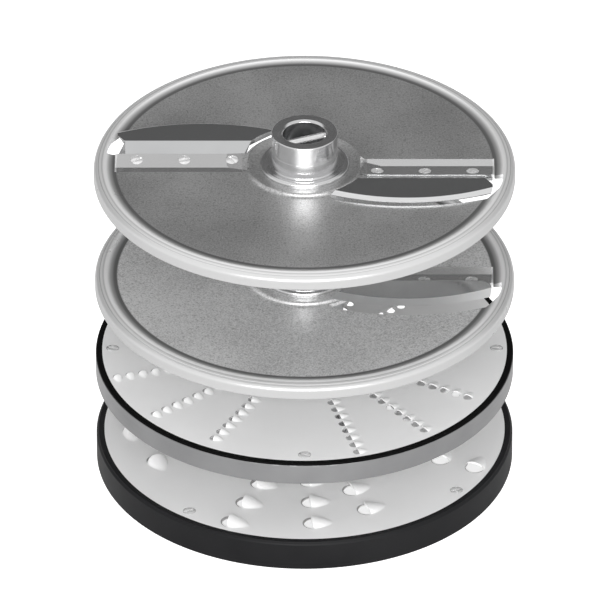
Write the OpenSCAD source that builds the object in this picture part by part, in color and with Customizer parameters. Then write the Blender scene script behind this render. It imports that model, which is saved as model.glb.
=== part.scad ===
// Set of four cutting discs of a food processor: two slicing discs and two
// grating discs, stacked on one vertical axis with plain sleeves between them.
// Millimetres. +Z is up, and the origin is on the axis at the table.

/* [Discs] */
// Outside diameter of every disc
disc_d = 185; // [180:1:190]
// Height of the coarse grating disc, which stands on the table
coarse_h = 14; // [13:0.5:16]
// Height of the fine grating disc
fine_h = 10.5; // [10:0.5:12]
// Height of a slicing disc's rim
rim_h = 6.5; // [6:0.25:8]

/* [Stack] */
// Underside of the fine grating disc above the table
fine_grater_z = 45.2; // [44:0.1:50]
// Underside of the thick slicing disc above the table
thick_slicer_z = 89.4; // [89:0.1:95]
// Underside of the thin slicing disc above the table
thin_slicer_z = 145.9; // [140:0.1:155]

/* [Hub] */
// Outside diameter of a hub
hub_d = 29; // [28:0.5:30]
// Diameter of the bore that takes the drive shaft
bore_d = 18.7; // [18:0.1:19]
// Height of a hub above the cutting face of its disc
hub_rise = 17.3; // [16:0.1:18]
// Diameter of the cross pin that the drive shaft catches
drive_pin_d = 4; // [3.5:0.1:4.5]
// Direction of the cross pin, from +X
drive_pin_angle = 22.7; // [0:0.1:90]

/* [Slicing blades] */
// Height of the cutting edge above the pan on the thin slicing disc
thin_cut = 1.5; // [1:0.1:2]
// Height of the cutting edge above the pan on the thick slicing disc
thick_cut = 4; // [3:0.1:4.5]
// Radius of the curved cutting edge
edge_r = 97.2; // [95:0.1:100]
// Tilt of the screwed strip that holds a blade
strip_tilt = 8.8; // [6:0.1:10]
// Distance between two blade screws
screw_pitch = 20.9; // [20:0.1:22]
// Distance from the axis to the innermost blade screw
screw_first = 31.8; // [31:0.1:33]

/* [Grating teeth] */
// Distance between two fine teeth of a row
fine_pitch = 5.8; // [5.5:0.1:7]
// Distance between two coarse teeth of a row
coarse_pitch = 16.4; // [15:0.1:18]
// Radius of a fine tooth's hood
fine_tooth_r = 2; // [1.8:0.1:2.2]
// Radius of a coarse tooth's hood
coarse_tooth_r = 4.6; // [4:0.1:5]

/* [Hidden] */
$fn = 96;

disc_r = disc_d / 2;
hub_r = hub_d / 2;
bore_r = bore_d / 2;
pin_r = drive_pin_d / 2;
hub_lift = 0.5;         // hub's foot above the disc's underside
flange_r = 19.7;        // round shoulder where the hub meets its disc
flange_rise = 2.3;      // top of that shoulder above the cutting face
pin_drop = 2.6;         // hub top down to the top of the cross pin
bore_edge = 1;          // chamfer at the bore's upper mouth
pin_seat = 3.2;         // depth of the pin's blind seat on each side of the bore
relief = 0.6;           // the lowest hub's bore is wider around the pin by this much ...
relief_half = 3;        // ... this far above and below the pin's middle

// slicing discs
pan_top = rim_h - 1;    // flat face of the pan, above the disc's underside
pan_t = 1.6;
flat_r = 83;            // the pan is flat out to here
rim_wall = 3;
collar_r = 26.7;        // cast ring around the hub's shoulder
strip_back = 0.6;       // the strip runs from this y ...
strip_front = -8.5;     // ... to this one
strip_end = 83;
strip_t = 1.5;
strip_dip = 0.8;        // back of the strip below the pan
blade_t = 1.6;
tang_room_gap = 0.3;    // the room under the strip's back edge starts this much below the strip ...
tang_gap = 0.32;        // ... and the blade's tang this much
ramp_w = 4.6;           // slope behind the strip
blade_gap_r = 27.9;     // inner end of the blade, around the collar
blade_end = 82.6;       // outer end of the tang
blade_heel = [79, -14.5];  // outer end of the ridge ...
blade_tip = [82.4, -20.5]; // ... and of the cutting edge
ridge_y = -15.5;
face_drop = 0.6;        // the ridge stands this much above the top of the honed bevel
face_slope = 0.0405;    // fall of the ground face towards that bevel
hone_ratio = 1.9;       // width of the honed bevel over its height
thin_hone = 1;          // height of that bevel on each slicing disc
thick_hone = 1.7;
thin_blades = [0, 180]; // direction of each blade of the thin slicing disc ...
thick_blades = [0];     // ... and of the thick one
edge_centre = [45, 65];
lip_gap = 1.2;          // throat between the cutting edge and the pan's lip
pocket_r = 87.6;        // outer end of the throat
blade_screw_y = -4.5;
screw_head_r = 2.75;
screw_head_h = 1.25;
screw_r = 1.5;
blade_screw_l = 3.4;
plate_screw_l = 6;
screw_play = 0.1;       // a screw's hole is wider than the screw by this much all round
screw_slot_w = 0.8;
screw_slot_depth = 0.6;
reach = 60;             // longer than any cut needs

// grating discs
plate_t = 1;
fine_plate_r = disc_r - 2.9;
coarse_plate_r = disc_r - 3.5;
seal_h = 1;
wall_t = 5.5;           // side wall of a grating disc
spoke_w = 9;
spoke_t = 4;
boss_r = flange_r + 4;
gap = 0.02;             // clearance between pieces that touch
plate_screw_r = 85;
coarse_screw_r = 84;
coarse_screw_a = 52.9;
tooth_shell = 0.6;
row_offsets = [16, 39, 61.5];   // rows of fine teeth after each screw
coarse_offsets = [14, 40, 60];  // rows of coarse teeth after each screw
fine_row_r = 85.8;
coarse_row_r = 82;
inner_row_r = 35;

// sleeves
sleeve_wall = 2.4;
socket_gap = 0.25;
socket_depth = 5;
sleeve_seat = 0.3;      // gap between a hub's top and the sleeve's inner shoulder
spigot_gap = 0.06;
spigot_rise = 4.5;      // top of a spigot above the cutting face of its disc
sleeve_r = hub_r + socket_gap + sleeve_wall;
sleeve_bore_r = 6;

coarse_plate_z = coarse_h - plate_t;   // a plate's underside above its disc's underside
fine_plate_z = fine_h - plate_t;
coarse_face = coarse_h;
fine_face = fine_grater_z + fine_h;
thick_face = thick_slicer_z + pan_top;

module ring(r_out, r_in, h) {
    difference() {
        cylinder(r = r_out, h = h);
        translate([0, 0, -1]) cylinder(r = r_in, h = h + 2);
    }
}

function on_circle(a) = [cos(a), sin(a)];
function arc(c, r, a0, a1, n) = [for (i = [0 : n]) c + r * on_circle(a0 + (a1 - a0) * i / n)];

// Height of the tilted strip's top at y, above the disc's underside.
function strip_z(y) = pan_top - strip_dip + (strip_back - y) * tan(strip_tilt);

// Hub of a disc whose cutting face is at height face above its underside.
// Its bore is wider by groove around the cross pin.
module hub(face, groove = 0) {
    top = face + hub_rise;
    pin_z = top - pin_drop - pin_r;
    difference() {
        rotate_extrude()
            polygon(concat(
                [[bore_r, hub_lift], [flange_r, hub_lift], [flange_r, face + 0.9]],
                arc([flange_r - 1.4, face + 0.9], 1.4, 0, 90, 5),
                [[flange_r - 2.6, face + flange_rise],
                 [hub_r + 0.6, face + 1.3],
                 [hub_r, face + 1.9],
                 [hub_r, top - 0.4],
                 [hub_r - 0.4, top],
                 [bore_r + bore_edge, top],
                 [bore_r, top - bore_edge],
                 [bore_r, pin_z + relief_half],
                 [bore_r + groove, pin_z + relief_half - groove],
                 [bore_r + groove, pin_z - relief_half + groove],
                 [bore_r, pin_z - relief_half]]));
        drive_pin(face);
    }
}

module drive_pin(face) {
    translate([0, 0, face + hub_rise - pin_drop - pin_r])
        rotate([0, 90, drive_pin_angle])
            cylinder(r = pin_r, h = bore_d + 2 * pin_seat, center = true);
}

// Flat pan of a slicing disc out to its rim wall, turned about the axis.
module pan_blank() {
    wall_r = disc_r - rim_wall;
    rotate_extrude()
        polygon(concat(
            [[flange_r + gap, pan_top - pan_t], [wall_r - 1, pan_top - pan_t],
             [wall_r, pan_top - pan_t - 1], [wall_r, rim_h]],
            arc([disc_r - 5.5, rim_h - 3], 3, 90, 120, 4),
            [[flat_r, pan_top], [collar_r + 0.9, pan_top], [collar_r, pan_top + 0.9],
             [collar_r - 1.4, pan_top + 1.5], [flange_r + 1.6, pan_top + 0.9],
             [flange_r + gap, pan_top + 0.6]]));
}

// Rolled rim wall around the pan.
module pan_rim() {
    wall_r = disc_r - rim_wall;
    rotate_extrude()
        polygon(concat(
            [[wall_r, 0.3], [wall_r + 0.3, 0], [disc_r - 0.6, 0], [disc_r, 0.6]],
            arc([wall_r, rim_h - rim_wall], rim_wall, 0, 90, 8)));
}

// Cross-section of one strip, seen along +X: y to the front is negative.
module strip_section() {
    low = strip_z(strip_back);
    high = strip_z(strip_front);
    polygon([[strip_back + ramp_w, pan_top - pan_t], [strip_back + ramp_w, pan_top],
             [strip_back, low], [strip_front, high], [strip_front, high - strip_t],
             [strip_back, low - strip_t - tang_room_gap], [strip_back, low - strip_t - blade_t],
             [strip_back + ramp_w * 0.6, pan_top - pan_t - 1.8]]);
}

// The space above the ramp and the strip, which is sunk into the pan.
module strip_bed() {
    above = pan_top + 3;
    polygon([[strip_back + ramp_w, above], [strip_back + ramp_w, pan_top],
             [strip_back, strip_z(strip_back)], [strip_front, strip_z(strip_front)], [strip_front, above]]);
}

// Room for the blade's tang under the strip.
module tang_room() {
    low = -5;
    y = strip_front - 1;
    polygon([[strip_back, strip_z(strip_back) - strip_t - tang_room_gap],
             [y, strip_z(strip_front) - strip_t + 0.1], [y, low], [strip_back, low]]);
}

module along_x(x0, x1) {
    translate([x0, 0, 0]) rotate([90, 0, 90]) linear_extrude(height = x1 - x0) children();
}

module inside_edge(r) {
    translate([edge_centre.x, edge_centre.y, -reach / 2]) cylinder(r = r, h = reach, $fn = 180);
}

// Everything in front of the strip and behind the throat's lip.
module throat(edge) {
    intersection() {
        translate([0, strip_front - reach, -reach / 2]) cube([disc_r, reach, reach]);
        inside_edge(edge);
        translate([0, 0, -reach / 2]) ring(pocket_r, collar_r + 0.4, reach);
    }
}

// Repeats what belongs to one blade, turned to each angle of a disc's list.
module at_blades(angles) {
    for (a = angles) rotate([0, 0, a]) children();
}

module at_blade_screws() {
    for (i = [0 : 2])
        translate([screw_first + i * screw_pitch, blade_screw_y, strip_z(blade_screw_y)])
            rotate([-strip_tilt, 0, 0]) children();
}

module slicing_pan(angles) {
    difference() {
        union() {
            pan_blank();
            at_blades(angles) intersection() {
                along_x(flange_r + 1, strip_end) strip_section();
                ring(flat_r + 1.2, flange_r + gap, reach);
            }
        }
        at_blades(angles) {
            along_x(collar_r, strip_end - 1) strip_bed();
            along_x(blade_gap_r, strip_end - 0.4) tang_room();
            throat(edge_r + lip_gap);
            at_blade_screws() {
                screw_hole(screw_play);
                cylinder(r = screw_head_r + screw_play, h = 3, $fn = 32);
            }
        }
    }
}

// Space inside the curved edge at height z, with the honed bevel above it.
module honed_edge(z, hone) {
    bevels = 4;
    translate([edge_centre.x, edge_centre.y, z]) {
        translate([0, 0, -reach]) cylinder(r = edge_r, h = reach, $fn = 180);
        cylinder(r1 = edge_r, r2 = edge_r - bevels * hone_ratio * hone, h = bevels * hone, $fn = 180);
    }
}

// One blade: a tang under the strip, a ramp up to the ridge and a ground face down to the edge.
module blade(cut, hone) {
    tang_back = strip_back - 0.4;
    tang_z = strip_z(strip_back) - strip_t - tang_gap;
    tang_top = tang_z + (tang_back - strip_front) * tan(strip_tilt);
    ridge_z = pan_top + cut + hone + face_drop;
    front_y = edge_centre.y - edge_r - 1;
    front_z = ridge_z - (ridge_y - front_y) * face_slope;
    difference() {
        intersection() {
            along_x(blade_gap_r - 16, blade_end)
                polygon([[tang_back, tang_z], [strip_front, tang_top], [ridge_y, ridge_z],
                         [front_y, front_z], [front_y, front_z - blade_t],
                         [ridge_y + 1.2, ridge_z - blade_t], [strip_front - 0.6, tang_top - blade_t],
                         [tang_back, tang_z - blade_t]]);
            honed_edge(pan_top + cut, hone);
        }
        translate([0, 0, -reach / 2]) cylinder(r = blade_gap_r, h = reach);
        translate([0, 0, -reach / 2]) linear_extrude(height = reach)
            polygon([[blade_heel.x, strip_front - 0.3], blade_heel, blade_tip, [blade_tip.x, -reach],
                     [disc_r, -reach], [disc_r, strip_front - 0.3]]);
        at_blade_screws() translate([0, 0, -8]) cylinder(r = screw_r + gap, h = 12, $fn = 32);
    }
}

// Cone of a countersunk head, level with z = 0, grown by play.
module screw_head(play) {
    translate([0, 0, -screw_head_h])
        cylinder(r1 = screw_r + play, r2 = screw_head_r + play, h = screw_head_h, $fn = 32);
}

module screw_hole(play) {
    translate([0, 0, -8]) cylinder(r = screw_r + play, h = 12, $fn = 32);
    screw_head(play);
}

module slotted_screw(length) {
    difference() {
        union() {
            screw_head(0);
            translate([0, 0, -length]) cylinder(r = screw_r, h = length - screw_head_h + 0.05, $fn = 32);
        }
        translate([-4, -screw_slot_w / 2, -screw_slot_depth]) cube([8, screw_slot_w, 2]);
    }
}

module blade_screws(angles) {
    slot_angles = [35, 10];
    for (i = [0 : len(angles) - 1]) rotate([0, 0, angles[i]])
        at_blade_screws() rotate([0, 0, slot_angles[i]]) slotted_screw(blade_screw_l);
}

// One tooth: a quarter-round hood behind its hole. It opens clockwise, seen from above.
module hood(r) {
    difference() {
        sphere(r = r, $fn = 32);
        sphere(r = r - tooth_shell, $fn = 32);
        translate([-2 * r, -4 * r, -2 * r]) cube([4 * r, 4 * r, 4 * r]);
        translate([-2 * r, -2 * r, -4 * r]) cube([4 * r, 4 * r, 4 * r]);
    }
}

module tooth_row(angle, first_r, pitch) {
    for (r = [first_r : -pitch : inner_row_r]) rotate([0, 0, angle]) translate([r, 0, 0]) children();
}

module tooth_rows(offsets, screw_a, first_r, pitch) {
    for (q = [0 : 3], k = [0 : 2])
        tooth_row(90 * q + screw_a + offsets[k], first_r - k * pitch / 3, pitch) children();
}

module at_plate_screws(r, a) {
    for (q = [0 : 3]) rotate([0, 0, a + 90 * q]) translate([r, 0, 0]) children();
}

// Sheet with a hole for every tooth; the hoods over the holes are nodes of their own.
module grating_plate(face, r, screw_r0, screw_a, offsets, first_r, pitch, tooth_r) {
    difference() {
        translate([0, 0, face - plate_t]) ring(r, flange_r + gap, plate_t);
        tooth_rows(offsets, screw_a, first_r, pitch)
            translate([0, -0.2 * tooth_r, face - 3])
                cylinder(r = tooth_r - tooth_shell, h = 3 + gap, $fn = 32);
        at_plate_screws(screw_r0, screw_a) translate([0, 0, face]) screw_hole(screw_play);
    }
}

// Side wall of a grating disc, turned from its cross-section, with a seat for the plate.
module grater_rim(wall, plate_z, plate_r) {
    difference() {
        rotate_extrude() polygon(wall);
        translate([0, 0, plate_z - gap]) cylinder(r = plate_r + gap, h = plate_t + 1);
    }
}

// Four spokes under a grating plate, from the boss to the rim.
module spokes(plate_z, screw_r0, screw_a) {
    z = plate_z - gap - spoke_t;
    difference() {
        intersection() {
            for (q = [0 : 3]) rotate([0, 0, screw_a + 90 * q])
                translate([0, -spoke_w / 2, z]) cube([disc_r, spoke_w, spoke_t]);
            translate([0, 0, z - 1]) ring(disc_r - wall_t, boss_r, spoke_t + 2);
        }
        at_plate_screws(screw_r0, screw_a) translate([0, 0, plate_z + plate_t]) screw_hole(gap);
    }
}

module boss(plate_z) {
    translate([0, 0, hub_lift]) ring(boss_r, flange_r + gap, plate_z - gap - hub_lift);
}

module plate_screws(face, screw_r0, screw_a) {
    slot_angles = [20, 75, 140, 100];
    for (q = [0 : 3]) rotate([0, 0, screw_a + 90 * q])
        translate([screw_r0, 0, face]) rotate([0, 0, slot_angles[q]]) slotted_screw(plate_screw_l);
}

// Sleeve from the hub top of the disc below to the hub foot of the disc above.
module sleeve(low, high, spigot) {
    spigot_r = bore_r - spigot_gap;
    rotate_extrude()
        polygon([[sleeve_bore_r, low + sleeve_seat], [hub_r + socket_gap - gap, low + sleeve_seat],
                 [hub_r + socket_gap, low - socket_depth], [sleeve_r, low - socket_depth],
                 [sleeve_r, high - 0.6], [sleeve_r - 0.6, high], [spigot_r, high],
                 [spigot_r, high + spigot - 1], [spigot_r - 1, high + spigot],
                 [sleeve_bore_r, high + spigot]]);
}

module coarse_rim() {
    color("#26262a")
        grater_rim([[disc_r - wall_t, 0], [disc_r - 0.8, 0], [disc_r, 0.8], [disc_r, coarse_h - 1.4],
                    [disc_r - 0.5, coarse_h - 0.6], [disc_r - 1.2, coarse_h], [disc_r - wall_t, coarse_h]],
                   coarse_plate_z, coarse_plate_r);
}

module coarse_spokes() { color("#26262a") spokes(coarse_plate_z, coarse_screw_r, coarse_screw_a); }
module coarse_boss() { color("#26262a") boss(coarse_plate_z); }

module coarse_grating_plate() {
    color("#d4d6d8")
        grating_plate(coarse_face, coarse_plate_r, coarse_screw_r, coarse_screw_a,
                      coarse_offsets, coarse_row_r, coarse_pitch, coarse_tooth_r);
}

module coarse_teeth() {
    color("#dcdee0") translate([0, 0, coarse_face])
        tooth_rows(coarse_offsets, coarse_screw_a, coarse_row_r, coarse_pitch) hood(coarse_tooth_r);
}

module coarse_hub() { color("#c4c6c8") hub(coarse_face, relief); }
module coarse_drive_pin() { color("#e6e6e6") drive_pin(coarse_face); }
module coarse_plate_screws() { color("#b8babc") plate_screws(coarse_face, coarse_screw_r, coarse_screw_a); }

module lower_sleeve() {
    color("#9a9c9e")
        sleeve(coarse_face + hub_rise, fine_grater_z + hub_lift, fine_h - hub_lift + spigot_rise);
}

module fine_rim() {
    color("#b4b6b8") translate([0, 0, fine_grater_z])
        grater_rim([[disc_r - wall_t, 0], [disc_r - 0.5, 0], [disc_r, 0.5], [disc_r, fine_h - seal_h],
                    [disc_r - wall_t, fine_h - seal_h]],
                   fine_plate_z, fine_plate_r);
}

module fine_spokes() {
    color("#b4b6b8") translate([0, 0, fine_grater_z]) spokes(fine_plate_z, plate_screw_r, 0);
}
module fine_boss() { color("#b4b6b8") translate([0, 0, fine_grater_z]) boss(fine_plate_z); }

module fine_seal_ring() {
    color("#1e1e20") translate([0, 0, fine_grater_z + fine_h - seal_h])
        rotate_extrude()
            polygon([[fine_plate_r + gap, gap], [disc_r - 0.2, gap], [disc_r - 0.2, seal_h - 0.6],
                     [disc_r - 0.7, seal_h - 0.1], [fine_plate_r + gap, seal_h - 0.1]]);
}

module fine_grating_plate() {
    color("#d0d2d4") translate([0, 0, fine_grater_z])
        grating_plate(fine_h, fine_plate_r, plate_screw_r, 0,
                      row_offsets, fine_row_r, fine_pitch, fine_tooth_r);
}

module fine_teeth() {
    color("#dcdee0") translate([0, 0, fine_face])
        tooth_rows(row_offsets, 0, fine_row_r, fine_pitch) hood(fine_tooth_r);
}

module fine_hub() { color("#c4c6c8") translate([0, 0, fine_grater_z]) hub(fine_h); }
module fine_drive_pin() { color("#e6e6e6") translate([0, 0, fine_grater_z]) drive_pin(fine_h); }
module fine_plate_screws() {
    color("#b8babc") translate([0, 0, fine_grater_z]) plate_screws(fine_h, plate_screw_r, 0);
}

module middle_sleeve() {
    color("#9a9c9e")
        sleeve(fine_face + hub_rise, thick_slicer_z + hub_lift, pan_top - hub_lift + spigot_rise);
}

module thick_slicing_pan() { color("#b9babc") translate([0, 0, thick_slicer_z]) slicing_pan(thick_blades); }
module thick_pan_rim() { color("#b9babc") translate([0, 0, thick_slicer_z]) pan_rim(); }
module thick_blade() {
    color("#8d9093") translate([0, 0, thick_slicer_z]) blade(thick_cut, thick_hone);
}
module thick_hub() { color("#c4c6c8") translate([0, 0, thick_slicer_z]) hub(pan_top); }
module thick_drive_pin() { color("#e6e6e6") translate([0, 0, thick_slicer_z]) drive_pin(pan_top); }
module thick_blade_screws() { color("#b8babc") translate([0, 0, thick_slicer_z]) blade_screws(thick_blades); }

module upper_sleeve() {
    color("#9a9c9e")
        sleeve(thick_face + hub_rise, thin_slicer_z + hub_lift, pan_top - hub_lift + spigot_rise);
}

module thin_slicing_pan() { color("#b0b1b3") translate([0, 0, thin_slicer_z]) slicing_pan(thin_blades); }
module thin_pan_rim() { color("#b0b1b3") translate([0, 0, thin_slicer_z]) pan_rim(); }
module thin_blade_right() {
    color("#8d9093") translate([0, 0, thin_slicer_z]) blade(thin_cut, thin_hone);
}
module thin_blade_left() {
    color("#8d9093") translate([0, 0, thin_slicer_z]) rotate([0, 0, 180]) blade(thin_cut, thin_hone);
}
module thin_hub() { color("#c4c6c8") translate([0, 0, thin_slicer_z]) hub(pan_top); }
module thin_drive_pin() { color("#e6e6e6") translate([0, 0, thin_slicer_z]) drive_pin(pan_top); }
module thin_blade_screws() { color("#b8babc") translate([0, 0, thin_slicer_z]) blade_screws(thin_blades); }

coarse_rim();
coarse_spokes();
coarse_boss();
coarse_grating_plate();
coarse_teeth();
coarse_hub();
coarse_drive_pin();
coarse_plate_screws();
lower_sleeve();
fine_rim();
fine_spokes();
fine_boss();
fine_seal_ring();
fine_grating_plate();
fine_teeth();
fine_hub();
fine_drive_pin();
fine_plate_screws();
middle_sleeve();
thick_slicing_pan();
thick_pan_rim();
thick_blade();
thick_hub();
thick_drive_pin();
thick_blade_screws();
upper_sleeve();
thin_slicing_pan();
thin_pan_rim();
thin_blade_right();
thin_blade_left();
thin_hub();
thin_drive_pin();
thin_blade_screws();
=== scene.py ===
"""Looks for a set of four food processor cutting discs, stacked on one vertical axis.

Every length below is in millimetres and becomes metres in solid(). Each disc is modelled with its
underside at z = 0 and its cutting edges facing -Y on the right, then lifted to where the CAD has it.
"""

import math

import bmesh
import bpy
from mathutils import Matrix, Vector, geometry


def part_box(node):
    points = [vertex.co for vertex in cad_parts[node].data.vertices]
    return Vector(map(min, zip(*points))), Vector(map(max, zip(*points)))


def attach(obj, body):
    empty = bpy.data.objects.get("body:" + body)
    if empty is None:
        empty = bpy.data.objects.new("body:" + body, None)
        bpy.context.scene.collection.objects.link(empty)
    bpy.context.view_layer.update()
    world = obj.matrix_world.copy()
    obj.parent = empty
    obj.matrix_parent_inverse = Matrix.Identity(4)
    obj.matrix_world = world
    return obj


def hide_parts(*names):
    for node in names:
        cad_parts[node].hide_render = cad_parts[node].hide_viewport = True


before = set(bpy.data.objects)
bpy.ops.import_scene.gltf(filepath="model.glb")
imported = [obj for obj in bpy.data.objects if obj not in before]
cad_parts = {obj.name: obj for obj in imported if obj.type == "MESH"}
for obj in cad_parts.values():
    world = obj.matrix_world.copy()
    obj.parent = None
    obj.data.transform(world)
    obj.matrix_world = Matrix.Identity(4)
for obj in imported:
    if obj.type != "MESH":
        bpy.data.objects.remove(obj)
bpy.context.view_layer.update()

MM = 0.001
TURN = 2 * math.pi


def low_z(node):
    """Height of a CAD node's lowest point, in millimetres."""
    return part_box(node)[0].z / MM


def high_z(node):
    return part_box(node)[1].z / MM


# ---------------------------------------------------------------- dimensions
DISC_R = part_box("coarse_rim")[1].x / MM
COARSE_Z = low_z("coarse_rim")
FINE_Z = low_z("fine_rim")
THICK_Z = low_z("thick_pan_rim")
THIN_Z = low_z("thin_pan_rim")
HUB_LIFT = 0.5
HUB_R = 14.5
BORE_R = 9.35
HUB_RISE = 17.3
SHOULDER_R = 19.7
COLLAR_R = 26.7
PIN_R = 2.0
PIN_SEAT = 3.1  # how far the cross pin reaches into the hub's wall
PIN_DEPTH = 2.6  # its top below the hub's top
PIN_ANGLE = math.radians(22.7)

PAN_TOP = 5.5  # flat face of a slicing pan above the disc's underside
PAN_T = 1.6
FLAT_R = 82.4  # the pan is flat out to here
BEAD_RISE = 1.0
STRIP_BACK = 0.6
STRIP_FRONT = -8.5
STRIP_DIP = 0.8
STRIP_TILT = math.radians(8.8)
STRIP_T = 1.5
STRIP_END = 83.0
RAMP_W = 4.6
BLADE_T = 1.6
BLADE_GAP_R = 27.9  # a blade's inner end follows a circle of this radius ...
BLADE_INNER_X = 11.4  # ... down to this x
EDGE_R = 97.2
EDGE_CENTRE = (45.0, 65.0)
LIP_GAP = 1.2  # between the cutting edge and the throat's lip, seen from above
RIDGE_Y = -15.5
FACE_DROP = 0.6  # the ridge stands this much above the top of the honed bevel
FACE_SLOPE = 0.0405  # fall of the ground face towards the edge
HONE_RATIO = 1.9  # width of the honed bevel over its height
THIN_CUT, THIN_HONE = 1.5, 1.0  # cutting edge above the pan, and height of its bevel
THICK_CUT, THICK_HONE = 4.0, 1.7
SCREW_X = (31.8, 52.7, 73.6)
SCREW_Y = -4.5
HEAD_R = 2.75
SHANK_R = 1.5
HEAD_H = 1.25
SLOT_HALF = 0.42
SLOT_DEPTH = 0.62
BLADE_SCREW_L = 3.3
PLATE_SCREW_L = 5.9

FINE_FACE = high_z("fine_seal_ring") - FINE_Z + 0.1
COARSE_FACE = high_z("coarse_rim") - COARSE_Z
PLATE_T = 1.0
WALL_T = 5.5
FINE_PLATE_R = DISC_R - 2.9
COARSE_PLATE_R = DISC_R - 3.5
FINE_SCREW_R, FINE_SCREW_ANGLE = 85.0, 0.0
COARSE_SCREW_R, COARSE_SCREW_ANGLE = 84.0, 52.9
SPOKE_HALF, SPOKE_H = 4.5, 4.0
BOSS_WALL = 4.0

# Rows of teeth: degrees after each screw, radius of the outermost tooth, pitch, least radius.
FINE_ROWS = ((16.0, 39.0, 61.5), 85.8, 5.8, 34.0)
COARSE_ROWS = ((14.0, 40.0, 60.0), 82.0, 16.4, 35.0)

# A tooth is half wide to each side, length long and height high; lean and mouth shape its open end,
# skirt blends it into the sheet, and dish sinks the sheet in front of it. The mesh has rings of
# around points each. The sheet is as thick as sheet.
FINE_TOOTH = {"half": 1.95, "length": 4.0, "height": 1.35, "lean": 0.25, "skirt": 0.4,
              "mouth": 2.2, "dish": 0.3, "around": 28, "rings": 5, "sheet": 0.45}
COARSE_TOOTH = {"half": 4.1, "length": 8.2, "height": 3.0, "lean": 0.9, "skirt": 0.9,
                "mouth": 4.1, "dish": 0.4, "around": 44, "rings": 7, "sheet": 0.8}

# Painted shade and highlight of a slicing disc's rim, as greys by radius: painted shade in the inner fillet,
# a painted highlight on the bead.
RIM_PAINTED_LIGHT = ((82.2, 0.30), (83.0, 0.15), (84.0, 0.17), (85.6, 0.48), (86.9, 1.00), (88.2, 1.00), (88.9, 0.60),
             (89.4, 0.84), (90.0, 0.80), (90.3, 0.48), (90.7, 0.76), (92.3, 0.62), (92.6, 0.52))
STRIP_GREY = 0.72
LOWER_DISC_PAINTED_LIGHT = 1.32  # painted light: the lower slicing disc's blasted face is painted paler against the upper one's, a lit copy of the same finish


# ---------------------------------------------------------------- mesh tools
def arc(cx, cy, r, a0, a1, n):
    """Points of a circular arc, angles in degrees."""
    step = (a1 - a0) / n
    angles = [math.radians(a0 + step * i) for i in range(n + 1)]
    return [(cx + r * math.cos(a), cy + r * math.sin(a)) for a in angles]


def smoothstep(t):
    t = min(1.0, max(0.0, t))
    return t * t * (3 - 2 * t)


def lathe(profile, segments=288):
    """Verts and faces of a closed (radius, z) outline turned about Z."""
    n = len(profile)
    verts = []
    for k in range(segments):
        c, s = math.cos(TURN * k / segments), math.sin(TURN * k / segments)
        verts += [(r * c, r * s, z) for r, z in profile]
    faces = []
    for k in range(segments):
        a, b = k * n, (k + 1) % segments * n
        faces += [(a + i, b + i, b + (i + 1) % n, a + (i + 1) % n) for i in range(n)]
    return verts, faces


def prism(outline, height):
    """Verts and faces of an outline in XY, raised from z = 0 to height."""
    n = len(outline)
    verts = [(x, y, z) for z in (0.0, height) for x, y in outline]
    sides = [(i, (i + 1) % n, n + (i + 1) % n, n + i) for i in range(n)]
    return verts, [tuple(range(n - 1, -1, -1)), tuple(range(n, 2 * n)), *sides]


def along_x(outline, x0, x1):
    """A (y, z) outline stretched from x0 to x1."""
    verts, faces = prism(outline, x1 - x0)
    return [(x0 + h, y, z) for y, z, h in verts], faces


def solid(name, verts, faces, matrix=None):
    """A closed mesh object in metres, with its faces turned outwards."""
    mesh = bpy.data.meshes.new(name)
    mesh.from_pydata([Vector(v) * MM for v in verts], [], faces)
    if matrix is not None:
        mesh.transform(matrix)
    work = bmesh.new()
    work.from_mesh(mesh)
    bmesh.ops.remove_doubles(work, verts=work.verts, dist=1e-7)
    bmesh.ops.recalc_face_normals(work, faces=work.faces)
    work.to_mesh(mesh)
    work.free()
    obj = bpy.data.objects.new(name, mesh)
    bpy.context.scene.collection.objects.link(obj)
    return obj


def shift(x=0.0, y=0.0, z=0.0):
    return Matrix.Translation((x * MM, y * MM, z * MM))


def turned(angle):
    return Matrix.Rotation(angle, 4, "Z")


def apply_modifiers(obj):
    graph = bpy.context.evaluated_depsgraph_get()
    mesh = bpy.data.meshes.new_from_object(obj.evaluated_get(graph))
    obj.modifiers.clear()
    old, obj.data = obj.data, mesh
    bpy.data.meshes.remove(old)


def combine(target, tools, operation):
    """Boolean of target with each tool, which is then removed."""
    for tool in tools:
        mod = target.modifiers.new("boolean", "BOOLEAN")
        mod.operation, mod.object, mod.solver = operation, tool, "MANIFOLD"
    apply_modifiers(target)
    for tool in tools:
        mesh = tool.data
        bpy.data.objects.remove(tool)
        bpy.data.meshes.remove(mesh)
    return target


def soften(obj, width, angle=30.0, segments=2):
    """Rounds the sharp edges by width."""
    mod = obj.modifiers.new("bevel", "BEVEL")
    mod.width, mod.segments, mod.limit_method = width * MM, segments, "ANGLE"
    mod.angle_limit, mod.use_clamp_overlap = math.radians(angle), True
    apply_modifiers(obj)
    return obj


def shade(obj, angle=35.0):
    """Smooth shading with sharp edges past an angle; wide flat faces stay flat."""
    obj.data.shade_smooth()
    obj.data.set_sharp_from_angle(angle=math.radians(angle))
    mod = obj.modifiers.new("normals", "WEIGHTED_NORMAL")
    mod.keep_sharp, mod.weight = True, 60
    apply_modifiers(obj)
    return obj


def place(obj, body, slot, nodes, lift=0.0, smooth=35.0):
    """Lifts a piece to its disc, gives it its finish, and lets it ride in place of its CAD nodes."""
    nodes = (nodes,) if isinstance(nodes, str) else nodes
    obj.data.transform(shift(z=lift))
    shade(obj, smooth)
    obj.data.materials.clear()
    obj.data.materials.append(FINISH[slot])
    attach(obj, body)
    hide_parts(*nodes)
    return obj


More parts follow.
